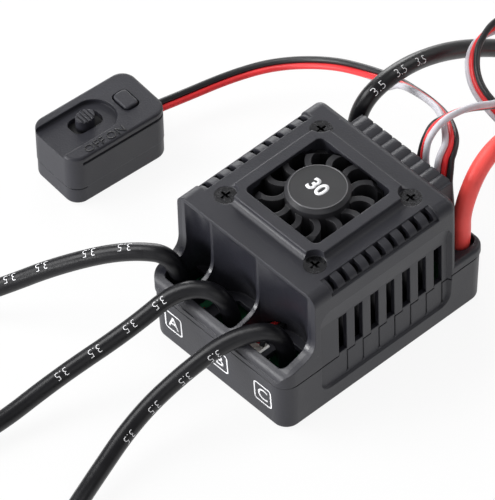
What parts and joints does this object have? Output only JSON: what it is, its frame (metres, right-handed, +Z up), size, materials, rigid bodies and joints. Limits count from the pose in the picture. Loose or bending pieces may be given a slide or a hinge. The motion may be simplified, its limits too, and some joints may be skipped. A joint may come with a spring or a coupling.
{
  "type": "electronic speed controller",
  "caption": "Brushless motor speed controller for a radio-controlled car, with a cooling fan, motor, battery and receiver leads and a switch box",
  "frame": {"origin": "centre of the controller case's flat base, on the surface that it stands on", "axes": "+X across the case from motor phase A to phase C, +Y towards the battery and receiver leads, +Z up along the fan's axis"},
  "size_m": [0.1059, 0.2075, 0.0357],
  "materials": {
    "case_black": "fine spark texture, satin",
    "fan_black": "smooth moulded",
    "label_black": "gloss film with white print",
    "screw_steel": "black zinc",
    "sink_aluminium": "black anodised",
    "board_green": "solder mask",
    "chip_black": "moulded epoxy",
    "capacitor_sleeve": "shrink sleeve",
    "led_red": "clear lens",
    "copper": "enamelled wire",
    "tinned_steel": "tinned",
    "bronze": "sintered",
    "magnet": "bonded ferrite",
    "silicone_black": "satin",
    "silicone_red": "satin",
    "silicone_white": "satin",
    "gold": "gold plate",
    "shrink_black": "heat shrink",
    "plug_red": "moulded nylon",
    "plug_black": "moulded nylon",
    "white_ink": "printed"
  },
  "bodies": {
    "controller": {"lower_case": "case_black", "upper_case": "case_black", "cover_screws": "screw_steel", "fan_frame": "fan_black", "fan_bush": "bronze", "fan_coils": "copper", "heat_sink": "sink_aluminium", "thermal_pad": "silicone_white", "power_board": "board_green", "mosfets": "chip_black", "capacitors": "capacitor_sleeve", "status_led": "led_red", "control_board": "board_green", "board_header": "gold", "motor_wire_a": "silicone_black", "motor_wire_b": "silicone_black", "motor_wire_c": "silicone_black", "bullet_plug_a": "gold", "bullet_plug_b": "gold", "bullet_plug_c": "gold", "plug_sleeve_a": "shrink_black", "plug_sleeve_b": "shrink_black", "plug_sleeve_c": "shrink_black", "battery_wire_negative": "silicone_black", "battery_wire_positive": "silicone_red", "battery_plug": "plug_red", "plug_blades": "gold", "receiver_lead": "silicone_black", "receiver_plug": "plug_black", "receiver_contacts": "gold", "switch_lead": "silicone_black", "switch_case_lower": "case_black", "switch_case_upper": "case_black", "switch_board": "board_green", "slide_switch_body": "tinned_steel", "tact_switch": "plug_black"},
    "fan_rotor": {"impeller": "fan_black", "magnet_ring": "magnet", "fan_shaft": "tinned_steel", "hub_label": "label_black"},
    "switch_knob": {"switch_knob": "case_black"},
    "set_button": {"set_button": "case_black"}
  },
  "joints": [
    {"name": "fan_spin", "type": "hinge", "parent": "controller", "child": "fan_rotor", "pos_m": [0, 0.00045, 0.029], "axis": [0, 0, 1], "continuous": true},
    {"name": "switch_slide", "type": "slide", "parent": "controller", "child": "switch_knob", "axis": [0.0715, 0.9974, 0], "range_m": [-0.0011, 0.0011]},
    {"name": "button_press", "type": "slide", "parent": "controller", "child": "set_button", "axis": [0, 0, -1], "range_m": [0, 0.0005], "stiffness_N_per_m": 800}
  ]
}
